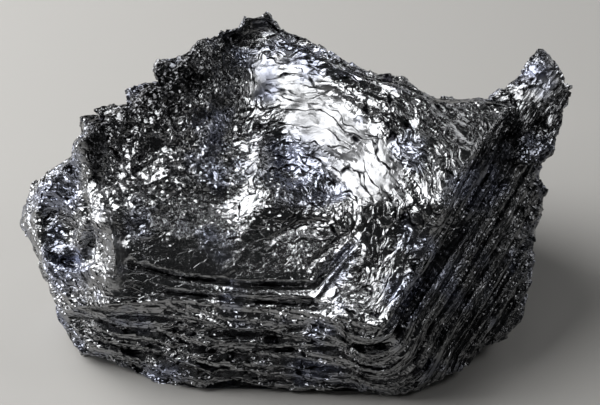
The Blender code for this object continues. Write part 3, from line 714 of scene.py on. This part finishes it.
def shard_places(ore, place, cloud, zone, inside):
    """Where the shards lie. They follow the sheets on the ledges, the bend on the right and the creases on
    the bright part, run up the edge of the fold, and lie every way on the grainy left and on the plates."""
    warp = ore.centred(ore.noise(place, 900.0, 2.0, 1))
    warp_up = ore.parts(warp)[2]
    warped = ore.vector("ADD", place, ore.scaled(warp, 0.6 * MM))
    waves = ore.centred(ore.noise(place, 160.0, 2.0, 1))
    waved = ore.vector("ADD", warped, ore.scaled(waves, 6 * MM))

    dip = (DIP_FROM_PLANE - PLANE_LEAN, 0, 0)
    lying = ore.node("ShaderNodeMapping", {}, {"Vector": warped, "Rotation": dip})
    wide, deep, _ = ore.parts(ore.vector("MULTIPLY", lying, (800, 1400, 0)))
    thin = ore.node("ShaderNodeCombineXYZ", {}, [wide, deep, 2.0 * zone["stack"] + warp_up])

    drawn = ore.vector("SUBTRACT", waved, tuple(PLANE_ORIGIN))
    drawn = ore.node("ShaderNodeMapping", {}, {"Vector": drawn, "Rotation": (-PLANE_LEAN, 0, 0)})
    middle = (CREASE_MIDDLE[0] * MM, CREASE_MIDDLE[1] * MM, 0)
    across, up, out = ore.parts(ore.vector("SUBTRACT", drawn, middle))
    reach = ore.maths("SQRT", across * across + up * up)
    turn = ore.maths("ARCTAN2", up, across)
    flow = ore.node("ShaderNodeCombineXYZ", {}, [turn * 6.0, out * 500, reach * 1000])
    streaks = ore.node("ShaderNodeCombineXYZ", {}, [up * 260, out * 500, (across - 0.25 * up) * 900])
    along = 0.54 * across + 0.84 * up
    beside = 1.1 * zone["stack"] + 0.3 * warp_up
    long = ore.node("ShaderNodeCombineXYZ", {}, [along * 160, out * 160, beside])

    on_foil = inside["foil"] * ore.over(reach * 250 + 2 * cloud, 2.2)
    run = ore.mix_vector(on_foil, ore.mix_vector(inside["bend"], thin, long), flow)
    run = ore.mix_vector(inside["grains"], run, ore.scaled(warped, 1000.0))
    run = ore.mix_vector(inside["plates"], run, ore.scaled(warped, 1300.0))
    return ore.mix_vector(inside["fold"], run, streaks)


def ore_finish():
    """Lead-grey metallic ore, whose small shards each lean their own way, with painted shade black between
    them.
    """
    ore = Finish("lead_grey_ore")
    place = ore.node("ShaderNodeTexCoord", output=3)
    cloud = ore.noise(place, 140.0, 3.0)
    patches = ore.noise(place, 480.0, 2.0)
    smooth = ("silk", "foil", "plates", "bend")
    zone = {name: ore.zone(name) for name in smooth + ("grains", "fold", "stack", "glitter", "tarnish")}
    ragged = ("foil", "plates", "bend", "grains", "fold")
    inside = {name: ore.over(zone[name] + 0.5 * cloud, 0.75) for name in ragged}
    silk, foil, plates, bend = (zone[name] for name in smooth)
    silk = silk * ore.upto(0.35 + 1.1 * patches)
    run = shard_places(ore, place, cloud, zone, inside)

    shards, splinters = ore.cells(run, 1.3, output=1), ore.cells(run, 2.7, output=1)
    rare = ore.parts(splinters)[2]
    strong = 0.25 + 1.5 * (patches * patches)
    rest = (1 - 0.6 * silk) * (1 - 0.5 * plates) * (1 - 0.4 * bend)
    lean = ore.scaled(ore.centred(shards), rest * (0.3 - 0.12 * foil + 0.4 * inside["grains"]))
    wild = ore.over(rare, 0.8) * ore.over(patches + 0.25 * zone["glitter"], 0.5)
    wild = wild * (1 - 0.85 * foil) * (1 - ore.upto(2 * plates)) * (1 - 0.5 * bend)
    small = (0.12 + 1.3 * (rare * rare * rare)) * strong * rest + 1.6 * wild
    small = ore.scaled(ore.centred(splinters), small)

    soft = ore.node("ShaderNodeTexNoise", {}, {"Vector": run, "Scale": 1.2, "Detail": 4.0, "Roughness": 0.6})
    fibres = ore.noise(ore.vector("MULTIPLY", run, (0.5, 0.8, 2.6)), 1.0, 3.0)
    # Thin gaps between the shards: they groove the bump, and the colour paints shade black in them
    gaps = ore.cells(ore.vector("MULTIPLY", run, (0.22, 0.3, 0.5)), 1.0, "DISTANCE_TO_EDGE")
    gap = ore.upto(gaps * 24 + inside["grains"] + plates + 7 * (patches - 0.5))
    ledge_shade = ore.upto(ore.zone("gap") * 16 + 12 * (cloud - 0.48) - 0.4 * fibres)
    height = soft * (0.95 + 0.4 * foil - 0.8 * silk) + 0.5 * gap + 0.3 * fibres
    ground = ore.node("ShaderNodeBump", {}, {"Height": height, "Strength": 0.7, "Distance": 0.16 * MM})
    ore.set(Normal=ore.vector("NORMALIZE", ore.vector("ADD", ground, ore.vector("ADD", lean, small))))

    tint = ore.node("ShaderNodeValToRGB", {"stops": [(0.52, 0), (0.66, 1)]}, [cloud])
    unshaded = ore.mix_colour(ore.upto(tint + 1.2 * ore.zone("blue")), ORE_GREY, ORE_BLUE)
    # Painted shade: black in the gaps between shards, along the ledge lines and in the cracks
    lit = (0.3 + 0.7 * gap) * ledge_shade * (0.62 + 0.6 * fibres)
    # Painted shade: darker on the crest at the top left, the dark facet beside the rib and the bent right
    # side; the crumpled part and the plates a little darker
    lit = lit * (1 - 0.85 * zone["tarnish"]) * (1 - 0.55 * bend) * (1 - 0.15 * foil - 0.15 * plates)
    ore.set(Base_Color=ore.mix_colour(lit, SHADE_BLACK, unshaded), Metallic=1.0)
    ore.set(Roughness=0.13 + 0.14 * cloud + 0.2 * silk + 0.07 * plates)
    return ore.material


def floor_finish():
    """Matt pale grey card."""
    card = Finish("pale_card")
    card.set(Base_Color=CARD_GREY, Roughness=0.9)
    return card.material


def floor():
    bpy.ops.object.select_all(action="DESELECT")
    bpy.ops.mesh.primitive_plane_add(size=FLOOR_SIZE)
    card = bpy.context.active_object
    card.name = "floor"
    card.data.materials.append(floor_finish())


def lamp(name, place, size, power):
    """A square soft light at a place, turned to face the stone."""
    data = bpy.data.lights.new(name, "AREA")
    data.size = size
    data.energy = power
    made = bpy.data.objects.new(name, data)
    made.location = place
    made.rotation_euler = (Vector(place) - Vector(LAMP_AIM)).to_track_quat("Z", "Y").to_euler()
    bpy.context.scene.collection.objects.link(made)


def lights():
    for name, settings in LAMPS.items():
        lamp(name, *settings)
    world = bpy.data.worlds.new("room")
    world.use_nodes = True
    world.node_tree.nodes["Background"].inputs["Color"].default_value = ROOM_COLOUR
    world.node_tree.nodes["Background"].inputs["Strength"].default_value = ROOM_STRENGTH
    bpy.context.scene.world = world
    bpy.context.scene.view_settings.view_transform = "Standard"


def camera():
    """Looks down at 40 degrees, square to the drawing plane."""
    rise = math.radians(90) - PLANE_LEAN
    aim = PLANE_ORIGIN + Matrix.Rotation(PLANE_LEAN, 3, "X") @ VIEW_MIDDLE
    data = bpy.data.cameras.new("camera")
    data.lens = data.sensor_width * CAMERA_DISTANCE / VIEW_WIDTH
    data.clip_start = 0.01
    made = bpy.data.objects.new("camera", data)
    made.location = aim + Vector((0, -math.cos(rise), math.sin(rise))) * CAMERA_DISTANCE
    made.rotation_euler = (PLANE_LEAN, 0, 0)
    bpy.context.scene.collection.objects.link(made)
    bpy.context.scene.camera = made


camera()
lights()
floor()
skin = stone_skin()
skin.data.materials.append(ore_finish())
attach(skin, "root")
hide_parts("molybdenite")
